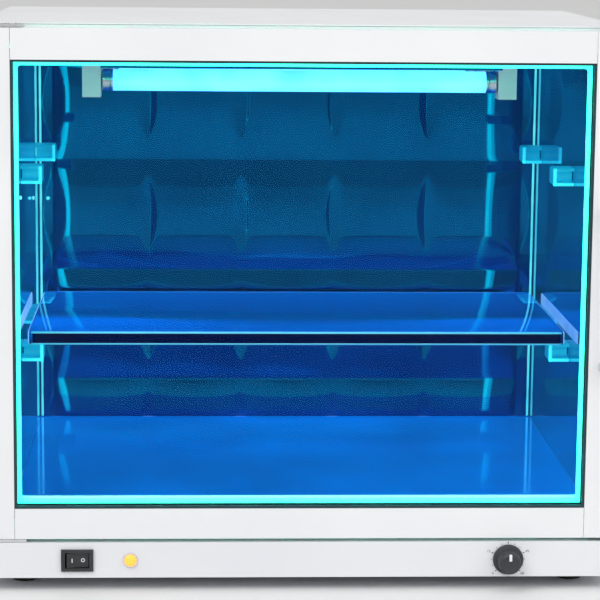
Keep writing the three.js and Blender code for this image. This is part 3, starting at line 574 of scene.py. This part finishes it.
def build_shelf():
    """A thick glass plate with ground sides, a polished front and rounded arrises."""
    low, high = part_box("glass_shelf")
    corner, edge, steps = 6 * MM, 1.4 * MM, 4
    plain, ground, front, top, arris = range(5)
    layers = [(edge, low.z)]
    for step in range(1, steps + 1):
        turn = math.radians(90 * step / steps)
        layers.append((edge * (1 - math.sin(turn)), low.z + edge * (1 - math.cos(turn))))
    layers += [(inset, high.z - (z - low.z)) for inset, z in reversed(layers)]
    mesh = bmesh.new()
    rings = []
    for inset, z in layers:
        outline = rounded_rectangle(
            (low.x + inset, high.x - inset), (low.y + inset, high.y - inset), corner - inset, 8,
        )
        rings.append([mesh.verts.new((x, y, z)) for x, y in outline])
    rings_to_faces(mesh, rings, False)
    mesh.faces.new(list(reversed(rings[0])))
    mesh.faces.new(rings[-1])
    # The ground sides get a painted glow, the arrises a painted highlight, the front a painted dark
    # shade and the top a painted glow of scattered lamp light.
    for face in mesh.faces:
        middle = face.calc_center_median()
        level = min(high.z - middle.z, middle.z - low.z)
        face.material_index = plain
        if abs(middle.x) > high.x - 1 * MM:
            face.material_index = ground
        elif middle.z > high.z - 0.01 * MM:
            face.material_index = top
        elif middle.y < low.y + edge and level < edge:
            face.material_index = arris
        elif middle.y < low.y + 0.3 * MM:
            face.material_index = front
    piece(
        "polished_glass_shelf", mesh, [SHELF_GLASS, PAINTED_GLOW_GROUND_EDGE, PAINTED_SHADE_EDGE, LIT_GLASS, PAINTED_HIGHLIGHT_ARRIS],
        "shelf", ["glass_shelf"], angle=50,
    )


def build_support(node):
    """A moulded bracket, open to the wall, with a rib and a screw boss inside and lips with a painted
    highlight glow.
    """
    low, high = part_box(node)
    side = 1 if low.x > 0 else -1
    wall = high.x if side > 0 else low.x
    inner = low.x if side > 0 else high.x
    thick, lip, corner = 2.2 * MM, 0.9 * MM, 1.6 * MM
    round_top = [
        (inner + side * (corner - dx), high.z - corner + dz)
        for dx, dz in arc((0, 0), corner, 90, 0, 4)
    ]
    round_bottom = [
        (inner + side * (corner - dx), low.z + corner - dz)
        for dx, dz in arc((0, 0), corner, 0, 90, 4)
    ]
    outline = [
        (wall, high.z), *round_top, *round_bottom, (wall, low.z), (wall, low.z + thick),
        (inner + side * thick, low.z + thick), (inner + side * thick, high.z - thick),
        (wall, high.z - thick),
    ]
    mesh = bmesh.new()
    run = Matrix.Translation((0, high.y, 0)) @ Matrix.Rotation(math.radians(90), 4, "X")
    add_prism(mesh, outline, run, high.y - low.y, 0.35 * MM)
    inside = sorted((inner + side * (thick - 0.2 * MM), wall - side * 0.3 * MM))
    rib = (low.y + high.y) / 2
    add_block(
        mesh, (inside[0], rib - 0.9 * MM, low.z + 1 * MM),
        (inside[1], rib + 0.9 * MM, high.z - 1 * MM), 0.2 * MM,
    )
    boss = place_along((inner + side * 1 * MM, low.y + 6 * MM, low.z + 6.5 * MM), (side, 0, 0))
    hub = [
        (0, 0), (3.4 * MM, 0), (3.4 * MM, 8 * MM), (3 * MM, 13 * MM), (1.6 * MM, 13 * MM),
        (1.6 * MM, 2 * MM), (0, 2 * MM),
    ]
    add_lathe(mesh, hub, 20, boss)
    lips = (
        (sorted((inner, inner + side * (thick + 0.2 * MM))), high.z),
        (sorted((inner, wall)), low.z + thick),
    )
    for x, top in lips:
        add_block(
            mesh, (x[0], low.y - lip, low.z), (x[1], low.y + 1 * MM, top), 0.4 * MM, 1,
        )
    piece(
        node.replace("shelf_support", "moulded_support"), mesh, [PAINTED_GLOW_CLOUDY, PAINTED_HIGHLIGHT_RIM], "cabinet",
        [node],
    )


# ---------------------------------------------------------------- lamps

def build_lamp(row):
    """A quartz tube with crimped metal caps, an insulator and two contact pins at each end."""
    node = f"uv_lamp_{row}"
    low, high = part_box(node)
    middle = (low + high) / 2
    pins, pin_spread = 7 * MM, 2.5 * MM
    half = (high.x - low.x) / 2 - pins
    radius = (high.z - low.z) / 2 - 0.3 * MM
    band = radius + 0.3 * MM
    neck = half - 8 * MM
    mesh = bmesh.new()
    tube = [
        (radius - 0.6 * MM, -neck - 1 * MM), (radius, -neck), (radius, neck),
        (radius - 0.6 * MM, neck + 1 * MM),
    ]
    add_lathe(mesh, tube, 40, place_along(middle, (1, 0, 0)))
    cap = [
        (radius - 0.5 * MM, neck - 0.2 * MM), (band, neck), (band, neck + 1.6 * MM),
        (radius - 0.2 * MM, neck + 2.2 * MM), (band, neck + 2.8 * MM), (band, half - 0.8 * MM),
        (radius - 0.5 * MM, half), (5.4 * MM, half), (5.2 * MM, half - 0.4 * MM),
    ]
    insulator = [(5.3 * MM, half - 0.6 * MM), (5.3 * MM, half - 0.2 * MM), (0, half - 0.2 * MM)]
    rod = [(1.15 * MM, 0), (1.15 * MM, 7.2 * MM), (0.8 * MM, 7.8 * MM), (0, 8 * MM)]
    for side in (-1, 1):
        end = place_along(middle, (side, 0, 0))
        add_lathe(mesh, cap, 40, end, 1)
        add_lathe(mesh, insulator, 24, end, 2)
        for offset in (-pin_spread, pin_spread):
            add_lathe(mesh, rod, 12, end @ Matrix.Translation((0, offset, half - 1 * MM)), 3)
    piece(
        f"quartz_tube_{row}", mesh, [TUBE, LENS_BACK, WHITE, BRIGHT], f"{row}_lamp",
        [node], angle=40,
    )


# ---------------------------------------------------------------- door

SIGHT_HALF_WIDTH = 200 * MM


def build_gasket():
    """A hollow-looking vinyl strip: a soft bead at the sight edge, a groove, and a flat foot."""
    low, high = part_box("door_gasket")
    width = high.x - SIGHT_HALF_WIDTH
    depth = high.y - low.y
    section = [(x * width / 14, low.y + y * depth) for x, y in (
        (0.4, 0.15), (0.0, 0.45), (0.3, 0.85), (1.2, 1.0), (3.4, 1.0), (4.2, 0.72), (5.0, 0.72),
        (5.8, 1.0), (10.2, 1.0), (11.0, 0.7), (14.0, 0.55), (14.0, 0.0), (1.4, 0.0),
    )]
    mesh = bmesh.new()
    add_border(mesh, section, high.x - width, low.z + width, high.z - width, 2 * MM)
    piece("door_gasket_strip", mesh, [PAINTED_GLOW_GASKET], "door", ["door_gasket"], angle=50)


def build_handle():
    """A bow handle swept from a rounded bar, whose two ends bend back to the door."""
    low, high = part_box("pull_handle")
    middle_x = (low.x + high.x) / 2
    bar, outer_bend = 8 * MM, 9 * MM
    bend = outer_bend - bar / 2
    crest = low.y + bar / 2
    root = high.y
    ends = (low.z + bar / 2, high.z - bar / 2)
    flat = [(root, ends[0])]
    flat += arc((crest + bend, ends[0] + bend), bend, 270, 180, 8)
    flat += arc((crest + bend, ends[1] - bend), bend, 180, 90, 8)
    flat += [(root, ends[1])]
    route = [Vector((middle_x, y, z)) for y, z in flat]
    half_x, half_t = (high.x - low.x) / 2, bar / 2
    section = rounded_rectangle((-half_x, half_x), (-half_t, half_t), 3 * MM, 4)
    mesh = bmesh.new()

    def axes(i):
        before, after = route[max(i - 1, 0)], route[min(i + 1, len(route) - 1)]
        ahead = (after - before).normalized()
        return Vector((1, 0, 0)), ahead.cross(Vector((1, 0, 0)))

    add_sweep(mesh, section, route, axes)
    piece("bow_handle", mesh, [BRIGHT], "door", ["pull_handle"], angle=50)


# ---------------------------------------------------------------- controls

def build_knob():
    """A fluted knob on a skirt, with a raised white pointer."""
    node = "timer_knob"
    low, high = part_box(node)
    x = (low.x + high.x) / 2
    face = low.y + 1.2 * MM
    root = STRIP_FACE - 0.5 * MM
    tall = root - face
    where = place_along((x, root, CONTROL_Z), (0, -1, 0))

    def flutes(angle, radius, height):
        if 3.6 * MM < height < tall - 1.6 * MM:
            return radius - 0.45 * MM * (0.5 + 0.5 * math.cos(18 * angle)) ** 2
        return radius

    profile = [
        (2.8 * MM, -15 * MM), (2.8 * MM, 0), (10.6 * MM, 0), (11 * MM, 0.4 * MM), (11 * MM, 1.8 * MM),
        (10.5 * MM, 2.5 * MM), (8.7 * MM, 3.1 * MM), (8.4 * MM, 4 * MM), (8.2 * MM, 8 * MM),
        (7.9 * MM, tall - 2 * MM), (7.6 * MM, tall - 1 * MM), (6.9 * MM, tall - 0.3 * MM),
        (6 * MM, tall), (5 * MM, tall - 0.4 * MM), (0, tall - 0.4 * MM),
    ]
    mesh = bmesh.new()
    sides = 108
    add_lathe(mesh, profile, sides, where, 0, flutes)
    mesh.faces.new(list(mesh.verts[:sides]))
    add_block(
        mesh, (x - 1 * MM, face - 1.2 * MM, CONTROL_Z + 2.4 * MM),
        (x + 1 * MM, face + 3 * MM, CONTROL_Z + 7.2 * MM), 0.4 * MM, 1,
    )
    piece("fluted_timer_knob", mesh, [BLACK, WHITE_PRINT], "knob", [node])


DIAL_TRAVEL = 270
DIAL_TICKS = 13
DIAL_NUMBERS = ((0, -135), (15, -67.5), (45, 67.5), (60, 135))
DIGIT_REACH = 15.2 * MM
DIGIT_HEIGHT = 2.6 * MM


def build_dial():
    """Ticks and numbers around the timer knob, printed on the strip. Full scale is 60 minutes."""
    x = middle_of("timer_knob").x
    centre = Vector((x, STRIP_FACE - 0.06 * MM, CONTROL_Z))
    mesh = bmesh.new()
    for tick in range(DIAL_TICKS):
        angle = math.radians(DIAL_TRAVEL * (tick / (DIAL_TICKS - 1) - 0.5))
        long = tick % 3 == 0
        inner, outer = 11.4 * MM, (12.9 if long else 12.3) * MM
        where = Matrix.Translation(centre) @ Matrix.Rotation(angle, 4, "Y")
        half = (0.3 if long else 0.18) * MM
        outline = [(-half, inner), (half, inner), (half, outer), (-half, outer)]
        tilt = where @ Matrix.Rotation(math.radians(90), 4, "X")
        add_prism(mesh, outline, tilt, 0.05 * MM)
    for minutes, angle in DIAL_NUMBERS:
        turn = math.radians(angle)
        place = centre + DIGIT_REACH * Vector((math.sin(turn), 0, math.cos(turn)))
        add_number(mesh, str(minutes), place, DIGIT_HEIGHT)
    piece("dial_ticks", mesh, [PRINT], "cabinet", clean=False)


def add_number(mesh, digits, place, size):
    """Flat printed digits on the strip, centred on a point."""
    curve = bpy.data.curves.new("digits", "FONT")
    curve.body = digits
    curve.size = size
    curve.extrude = 0.025 * MM
    curve.align_x = "CENTER"
    curve.align_y = "CENTER"
    carrier = bpy.data.objects.new("digits", curve)
    flat = carrier.to_mesh()
    flat.transform(Matrix.Translation(place) @ Matrix.Rotation(math.radians(90), 4, "X"))
    mesh.from_mesh(flat)
    carrier.to_mesh_clear()
    bpy.data.objects.remove(carrier)
    bpy.data.curves.remove(curve)


ROCKER_REST_TILT = math.radians(10)
ROCKER_VALLEY = 0.8 * MM
ROCKER_HOLLOW = 1.2 * MM


def build_rocker():
    """The power rocker, hollowed like a saddle, with a bar and a ring moulded on its two ends."""
    low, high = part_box("power_rocker")
    half = (high.z - low.z) / 2
    radius = half + 2.6 * MM
    outline = []
    for step in range(-6, 7):
        share = step / 6
        outline.append((radius * share, -ROCKER_VALLEY - ROCKER_HOLLOW * share * share))
    outline += arc((0, 0), radius, 0, 180, 24)
    pivot = Matrix.Translation((middle_of("switch_housing").x, STRIP_FACE + 0.5 * MM, CONTROL_Z))
    rest = pivot @ Matrix.Rotation(ROCKER_REST_TILT, 4, "Z")
    mesh = bmesh.new()
    add_prism(mesh, outline, rest @ Matrix.Translation((0, 0, -half)), 2 * half, 0.3 * MM)
    out = rest @ Matrix.Translation((0, -1.15 * MM, 0)) @ Matrix.Rotation(math.radians(90), 4, "X")
    wide, tall, proud = 0.3 * MM, 1.5 * MM, 0.2 * MM
    bar = [(-wide, -tall), (wide, -tall), (wide, tall), (-wide, tall)]
    add_prism(mesh, bar, out @ Matrix.Translation((-radius / 2, 0, 0)), proud, 0, 1)
    bore, rim = 0.9 * MM, 1.4 * MM
    ring = [(bore, 0), (rim, 0), (rim, proud), (bore, proud), (bore, 0)]
    add_lathe(mesh, ring, 28, out @ Matrix.Translation((radius / 2, 0, 0)), 1)
    weld(mesh)
    piece("saddle_rocker", mesh, [BLACK, WHITE_PRINT], "rocker", ["power_rocker"])


def build_pilot():
    """The pilot lamp: a domed lens with moulded rings inside a bright bezel."""
    where = place_along((middle_of("pilot_lens").x, STRIP_FACE, CONTROL_Z), (0, -1, 0))
    lens, stem, base, steps = 4.4 * MM, 3.7 * MM, 0.3 * MM, 24
    dome = [(0, 4.15 * MM)]
    for step in range(1, steps + 1):
        turn = math.radians(90 * step / steps)
        ridge = 0.1 * MM * abs(math.sin(6 * turn))
        dome.append((lens * math.sin(turn), (1.3 + 2.75 * math.cos(turn)) * MM + ridge))
    dome += [(lens, base), (stem, base), (stem, -12 * MM), (0, -12 * MM)]
    inner, outer = 4.45 * MM, 5.2 * MM
    bezel = [
        (inner, base), (outer, base), (outer, 0.9 * MM), (4.9 * MM, 1.35 * MM),
        (inner, 1.4 * MM), (inner, base),
    ]
    mesh = bmesh.new()
    add_lathe(mesh, dome, 40, where)
    add_lathe(mesh, bezel, 40, where, 1)
    weld(mesh)
    piece("ringed_pilot_lens", mesh, [PILOT, BRIGHT], "cabinet", ["pilot_lens"])


def build_fastener(mesh, point, direction, radius=3 * MM, height=1.8 * MM):
    """A pan-head screw with a cross recess, standing on a surface."""
    where = place_along(point, direction)
    sides, layers, sunk = 32, 7, 0.2 * MM
    turns = [2 * math.pi * step / sides for step in range(sides)]
    rings = [[
        mesh.verts.new(where @ Vector((radius * math.cos(turn), radius * math.sin(turn), -sunk)))
        for turn in turns
    ]]
    for layer in range(layers):
        share = layer / (layers - 1)
        reach = radius * (1 - share) + 0.02 * radius * share
        ring = []
        for turn in turns:
            x, y = reach * math.cos(turn), reach * math.sin(turn)
            top = height * math.sqrt(max(0.0, 1 - (reach / radius) ** 2 * 0.82))
            arm = min(abs(x), abs(y)) < 0.16 * radius and reach < 0.62 * radius
            depth = 0.55 * height if arm or reach < 0.2 * radius else 0
            ring.append(mesh.verts.new(where @ Vector((x, y, top - depth))))
        rings.append(ring)
    rings_to_faces(mesh, rings, False)
    mesh.faces.new(rings[-1])
    mesh.faces.new(list(reversed(rings[0])))


def build_rivet(mesh, point, direction, radius):
    """A domed blind rivet head with the dimple of its mandrel."""
    profile = [
        (0, -0.2 * MM), (radius, -0.2 * MM), (radius, 0.15 * MM), (0.86 * radius, 0.55 * MM),
        (0.6 * radius, 0.85 * MM), (0.36 * radius, 0.95 * MM), (0.28 * radius, 0.6 * MM), (0, 0.55 * MM),
    ]
    add_lathe(mesh, profile, 28, place_along(point, direction))


COVER_SCREWS_X = [108 * MM * step for step in range(-2, 3)]
COVER_SIDE_X = 218 * MM
COVER_MARGIN = 8 * MM
INLET_SCREW_X = 13.9 * MM
PANEL_MARGIN = 12 * MM
PANEL_RIVETS_Z = (30 * MM, 390 * MM)
HINGE_SCREWS_X = (-207 * MM, -199 * MM)
LINER_RIVET = 1.6 * MM
LEFT_WALL_RIVETS = ((-60 * MM, 274.3 * MM), (73.5 * MM, 258.2 * MM))
BACK_WALL_RIVET = (-196.7 * MM, 250.4 * MM)


def build_cover_screws():
    mesh = bmesh.new()
    low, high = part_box("back_cover")
    for x in COVER_SCREWS_X:
        for z in (low.z + COVER_MARGIN, high.z - COVER_MARGIN):
            build_fastener(mesh, (x, REAR_Y, z), (0, 1, 0))
    for side in (-1, 1):
        for share in (0.34, 0.66):
            z = low.z + share * (high.z - low.z)
            build_fastener(mesh, (side * COVER_SIDE_X, REAR_Y, z), (0, 1, 0))
    piece("back_cover_screws", mesh, [SCREW], "cabinet")


def build_inlet_screws():
    mesh = bmesh.new()
    inlet = middle_of("mains_inlet")
    face = high_of("mains_inlet").y
    for side in (-1, 1):
        place = (inlet.x + side * INLET_SCREW_X, face, inlet.z)
        build_fastener(mesh, place, (0, 1, 0), 1.5 * MM, 0.8 * MM)
    piece("inlet_screws", mesh, [SCREW], "cabinet")


def build_panel_rivets():
    mesh = bmesh.new()
    for side in (-1, 1):
        for y in (CHAMBER_FRONT + PANEL_MARGIN, REAR_Y - PANEL_MARGIN):
            for z in PANEL_RIVETS_Z:
                build_rivet(mesh, (side * SIDE_X, y, z), (side, 0, 0), 2.4 * MM)
    piece("side_panel_rivets", mesh, [SCREW], "cabinet")


def build_hinge_screws():
    mesh = bmesh.new()
    top = high_of("hinge_bracket_top").z
    y = low_of("hinge_bracket_top").y + 6 * MM
    for x in HINGE_SCREWS_X:
        build_fastener(mesh, (x, y, top), (0, 0, 1), 2.2 * MM, 0.5 * MM)
    piece("hinge_screws", mesh, [SCREW], "cabinet")


def build_liner_rivets():
    """Three small rivets in a row at the left of the chamber, two in its wall, bright with a painted
    glow.
    """
    mesh = bmesh.new()
    for y, z in LEFT_WALL_RIVETS:
        build_rivet(mesh, (-WALL_X, y, z), (1, 0, 0), LINER_RIVET)
    x, z = BACK_WALL_RIVET
    build_rivet(mesh, (x, BACK_Y, z), (0, -1, 0), LINER_RIVET)
    piece("liner_rivets", mesh, [SEALANT_AND_RIVET_GLOW], "cabinet")


def build_foot(node):
    """A ribbed rubber foot with the recess of its screw."""
    low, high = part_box(node)
    middle = (low + high) / 2
    outer = (high.x - low.x) / 2
    tall = high.z - low.z
    profile = [
        (0, 3 * MM), (3.2 * MM, 3 * MM), (3.4 * MM, 0.4 * MM), (3.9 * MM, 0),
        (0.7 * outer, 0), (0.76 * outer, 0.3 * MM), (0.8 * outer, 1.2 * MM),
        (0.86 * outer, 0.42 * tall), (0.83 * outer, 0.48 * tall), (0.9 * outer, 0.54 * tall),
        (0.98 * outer, tall - 1 * MM), (outer, tall - 0.5 * MM), (0.98 * outer, tall), (0, tall),
    ]
    mesh = bmesh.new()
    add_lathe(mesh, profile, 48, Matrix.Translation((middle.x, middle.y, low.z)))
    piece(node + "_rubber", mesh, [RUBBER], "cabinet", [node])


# ---------------------------------------------------------------- finishes of the CAD nodes

LAMP_HOLDERS = [
    f"lamp_holder_{row}_{hand}" for row in ("front", "rear") for hand in ("left", "right")
]
DOOR_BARS = ["door_stile_left", "door_stile_right", "door_rail_top", "door_rail_bottom"]
HINGE_BRACKETS = ["hinge_bracket_top", "hinge_bracket_bottom"]
HINGE_BUSHES = ["hinge_bush_top", "hinge_bush_bottom"]
SIDE_PANELS = ["side_panel_left", "side_panel_right"]
NODE_FINISHES = (
    (PAINT, [*SIDE_PANELS, *DOOR_BARS, "top_panel", "back_cover", "face_frame"]),
    (STRIP_PAINT, ["control_panel"]),
    (FLOOR_STEEL, ["liner_floor"]),
    (WALL_STEEL, ["liner_ceiling", "liner_left", "liner_right", "lamp_reflector"]),
    (WHITE, [*LAMP_HOLDERS, *HINGE_BUSHES, "terminal_block", "interlock_plunger"]),
    (ZINC, [
        "base_pan", "ballast", "catch_magnet", "catch_strike", "hinge_pin_top",
        "hinge_pin_bottom",
    ]),
    (BLACK, ["mains_inlet", "switch_housing", "timer_body", "interlock_switch"]),
    (RUBBER, ["supply_lead", "lamp_lead"]),
    (BRIGHT, HINGE_BRACKETS),
    (DOOR_GLASS, ["door_glass"]),
    (SEAL, ["glazing_seal"]),
)
BEVELS_MM = (
    (0.3, ["glazing_seal"]),
    (0.4, [
        *SIDE_PANELS, *HINGE_BRACKETS, "top_panel", "control_panel", "mains_inlet",
        "switch_housing", "catch_magnet",
    ]),
    (0.5, [
        *DOOR_BARS, *HINGE_BUSHES, "ballast", "terminal_block", "timer_body",
        "interlock_switch",
    ]),
    (0.8, LAMP_HOLDERS),
)


def finish_nodes():
    for material, names in NODE_FINISHES:
        for name in names:
            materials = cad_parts[name].data.materials
            materials.clear()
            materials.append(material)
    for width, names in BEVELS_MM:
        for name in names:
            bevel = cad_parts[name].modifiers.new("rounded", "BEVEL")
            bevel.width = width * MM
            bevel.segments = 2
            bevel.limit_method = "ANGLE"
            bevel.angle_limit = math.radians(40)
            bevel.harden_normals = True


# ---------------------------------------------------------------- stage and light

FLOOR_RADIUS = 30


def build_stage():
    """A wide pale floor, flat all round, so that it hides the cabinet from no side."""
    mesh = bmesh.new()
    bmesh.ops.create_circle(mesh, cap_ends=True, radius=FLOOR_RADIUS, segments=64)
    data = bpy.data.meshes.new("studio")
    mesh.to_mesh(data)
    mesh.free()
    data.shade_smooth()
    surface = Finish("studio_paper", Roughness=0.8)
    surface.vary_color(surface.noise(0.8, 2), (0.8, 0.8, 0.8), (0.83, 0.83, 0.83))
    data.materials.append(surface.material)
    studio = bpy.data.objects.new("studio", data)
    bpy.context.scene.collection.objects.link(studio)


def aim(light, direction):
    light.rotation_euler = direction.to_track_quat("-Z", "Y").to_euler()


def add_area(name, place, target, size, power):
    data = bpy.data.lights.new(name, "AREA")
    data.shape = "RECTANGLE"
    data.size, data.size_y = size
    data.energy = power
    light = bpy.data.objects.new(name, data)
    light.location = place
    aim(light, Vector(target) - Vector(place))
    bpy.context.scene.collection.objects.link(light)


def add_sun(name, direction, strength, spread):
    data = bpy.data.lights.new(name, "SUN")
    data.energy = strength
    data.angle = spread
    light = bpy.data.objects.new(name, data)
    aim(light, Vector(direction))
    bpy.context.scene.collection.objects.link(light)


def build_light():
    """Even white studio light: a pale sky, a wide sun and three soft boxes."""
    world = bpy.data.worlds.new("studio_air")
    bpy.context.scene.world = world
    world.use_nodes = True
    sky = world.node_tree.nodes["Background"]
    sky.inputs["Color"].default_value = (0.94, 0.94, 0.935, 1)
    sky.inputs["Strength"].default_value = 0.5
    add_area("key", (-1.3, -1.9, 2.2), (0, 0, 0.2), (1.6, 1.2), 19)
    add_area("fill", (1.8, -1.4, 1.3), (0, 0, 0.2), (1.4, 1.4), 12)
    add_area("back", (0.6, 1.2, 2.2), (0, 0, 0.3), (1.6, 1.0), 8)
    add_sun("overhead", (0.25, 0.75, -1), 1.1, math.radians(70))
    bpy.context.scene.view_settings.view_transform = "Standard"
    bpy.context.scene.cycles.glossy_bounces = 10
    bpy.context.scene.cycles.transmission_bounces = 16
    bpy.context.scene.cycles.max_bounces = 20


# ---------------------------------------------------------------- everything

add_camera()
build_back_wall()
build_shelf()
for level in ("lower", "upper"):
    for end in ("front", "rear"):
        for hand in ("left", "right"):
            build_support(f"shelf_support_{level}_{end}_{hand}")
build_corner_seal(-1, "corner_seal_left")
build_corner_seal(1, "corner_seal_right")
for row in ("front", "rear"):
    build_lamp(row)
build_gasket()
build_handle()
build_knob()
build_dial()
build_rocker()
build_pilot()
build_cover_screws()
build_inlet_screws()
build_panel_rivets()
build_hinge_screws()
build_liner_rivets()
for end in ("front", "rear"):
    for hand in ("left", "right"):
        build_foot(f"foot_{end}_{hand}")
finish_nodes()
build_stage()
build_light()
